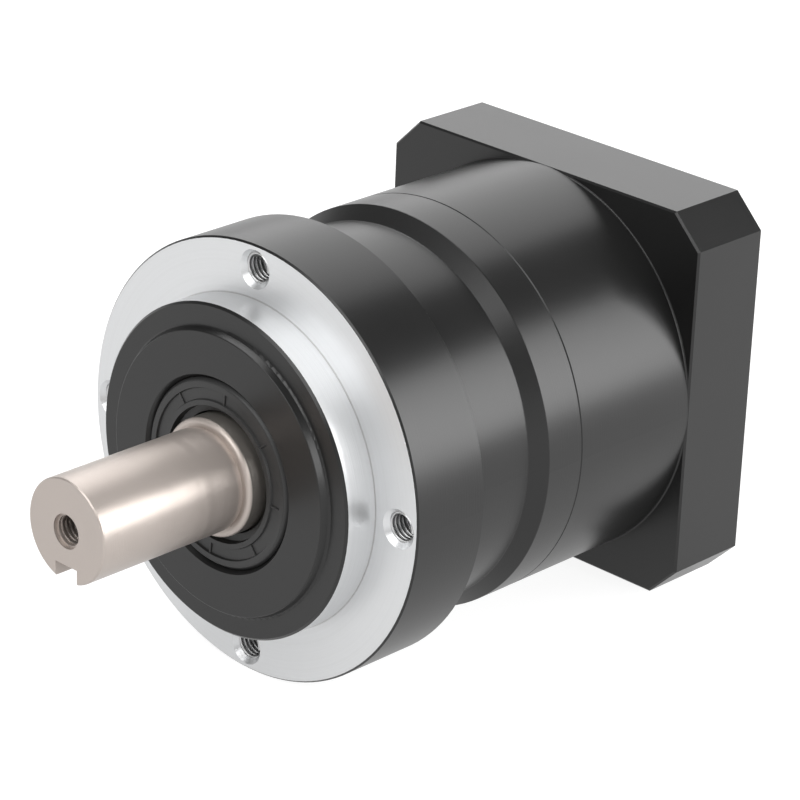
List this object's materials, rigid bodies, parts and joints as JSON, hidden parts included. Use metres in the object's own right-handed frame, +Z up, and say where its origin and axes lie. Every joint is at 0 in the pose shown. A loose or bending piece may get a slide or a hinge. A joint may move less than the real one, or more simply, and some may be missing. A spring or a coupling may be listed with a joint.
{
  "type": "helical planetary gearbox",
  "caption": "Single-stage helical planetary gearbox with a round output flange, keyed output shaft, cylindrical body and square motor plate with a clamp hub.",
  "frame": {"origin": "on the main axis, in the silver mounting face of the output flange", "axes": "+Y runs along the main axis from the output shaft to the motor side, +Z up, +X completes the right-handed frame"},
  "size_m": [0.09, 0.1482, 0.09],
  "materials": {
    "black_anodised": "satin black anodised, with the flange face and pilot machined bright",
    "shaft_steel": "ground steel with a warm nickel tone",
    "gear_steel": "case hardened and ground",
    "bearing_steel": "ground and honed",
    "cage_steel": "pressed sheet steel",
    "spring_steel": "phosphated spring steel",
    "black_steel": "black oxide",
    "seal_rubber": "matt black nitrile rubber",
    "bronze": "plain bronze"
  },
  "bodies": {
    "gearbox_case": {"output_housing": "black_anodised", "input_adapter": "black_anodised", "ring_gear": "gear_steel", "output_seal": "seal_rubber", "input_seal": "seal_rubber", "front_bearing_outer_ring": "bearing_steel", "rear_bearing_outer_ring": "bearing_steel", "bearing_spacer": "bearing_steel", "housing_retaining_ring": "spring_steel", "input_bearing_outer_ring": "bearing_steel", "adapter_retaining_ring": "spring_steel", "housing_screws": "black_steel", "access_plug": "black_steel"},
    "output_carrier": {"output_shaft": "shaft_steel", "carrier_rear_plate": "shaft_steel", "carrier_screws": "black_steel", "planet_pins": "bearing_steel", "thrust_washers": "bronze", "front_bearing_inner_ring": "bearing_steel", "rear_bearing_inner_ring": "bearing_steel", "shaft_retaining_ring": "spring_steel"},
    "input_rotor": {"input_shaft": "shaft_steel", "sun_gear": "gear_steel", "clamp_ring": "shaft_steel", "clamp_screw": "black_steel", "input_bearing_inner_ring": "bearing_steel", "hub_retaining_ring": "spring_steel"},
    "front_roller_set": {"front_bearing_rollers": "bearing_steel", "front_bearing_cage": "cage_steel"},
    "rear_roller_set": {"rear_bearing_rollers": "bearing_steel", "rear_bearing_cage": "cage_steel"},
    "input_roller_set": {"input_bearing_rollers": "bearing_steel", "input_bearing_cage": "cage_steel"},
    "planet_1": {"planet_gear_1": "gear_steel"},
    "needle_set_1": {"planet_needles_1": "bearing_steel"},
    "planet_2": {"planet_gear_2": "gear_steel"},
    "needle_set_2": {"planet_needles_2": "bearing_steel"},
    "planet_3": {"planet_gear_3": "gear_steel"},
    "needle_set_3": {"planet_needles_3": "bearing_steel"}
  },
  "joints": [
    {"name": "output_spin", "type": "hinge", "parent": "gearbox_case", "child": "output_carrier", "pos_m": [0, 0, 0], "axis": [0, 1, 0], "continuous": true},
    {"name": "input_spin", "type": "hinge", "parent": "gearbox_case", "child": "input_rotor", "pos_m": [0, 0.08, 0], "axis": [0, 1, 0], "continuous": true},
    {"name": "front_rollers_spin", "type": "hinge", "parent": "gearbox_case", "child": "front_roller_set", "pos_m": [0, 0.009, 0], "axis": [0, 1, 0], "continuous": true},
    {"name": "rear_rollers_spin", "type": "hinge", "parent": "gearbox_case", "child": "rear_roller_set", "pos_m": [0, 0.025, 0], "axis": [0, 1, 0], "continuous": true},
    {"name": "input_rollers_spin", "type": "hinge", "parent": "gearbox_case", "child": "input_roller_set", "pos_m": [0, 0.067, 0], "axis": [0, 1, 0], "continuous": true},
    {"name": "planet_1_spin", "type": "hinge", "parent": "output_carrier", "child": "planet_1", "pos_m": [0, 0.0454, 0.01941], "axis": [0, 1, 0], "continuous": true},
    {"name": "needles_1_spin", "type": "hinge", "parent": "output_carrier", "child": "needle_set_1", "pos_m": [0, 0.0454, 0.01941], "axis": [0, 1, 0], "continuous": true},
    {"name": "planet_2_spin", "type": "hinge", "parent": "output_carrier", "child": "planet_2", "pos_m": [0.01681, 0.0454, -0.00971], "axis": [0, 1, 0], "continuous": true},
    {"name": "needles_2_spin", "type": "hinge", "parent": "output_carrier", "child": "needle_set_2", "pos_m": [0.01681, 0.0454, -0.00971], "axis": [0, 1, 0], "continuous": true},
    {"name": "planet_3_spin", "type": "hinge", "parent": "output_carrier", "child": "planet_3", "pos_m": [-0.01681, 0.0454, -0.00971], "axis": [0, 1, 0], "continuous": true},
    {"name": "needles_3_spin", "type": "hinge", "parent": "output_carrier", "child": "needle_set_3", "pos_m": [-0.01681, 0.0454, -0.00971], "axis": [0, 1, 0], "continuous": true}
  ],
  "couplings": [
    {"joint": "input_spin", "follows": "output_spin", "ratio": 4},
    {"joint": "front_rollers_spin", "follows": "output_spin", "ratio": 0.42983},
    {"joint": "rear_rollers_spin", "follows": "output_spin", "ratio": 0.45013},
    {"joint": "input_rollers_spin", "follows": "output_spin", "ratio": 1.7689},
    {"joint": "planet_1_spin", "follows": "output_spin", "ratio": -3},
    {"joint": "needles_1_spin", "follows": "output_spin", "ratio": -1.9542},
    {"joint": "planet_2_spin", "follows": "output_spin", "ratio": -3},
    {"joint": "needles_2_spin", "follows": "output_spin", "ratio": -1.9542},
    {"joint": "planet_3_spin", "follows": "output_spin", "ratio": -3},
    {"joint": "needles_3_spin", "follows": "output_spin", "ratio": -1.9542}
  ]
}
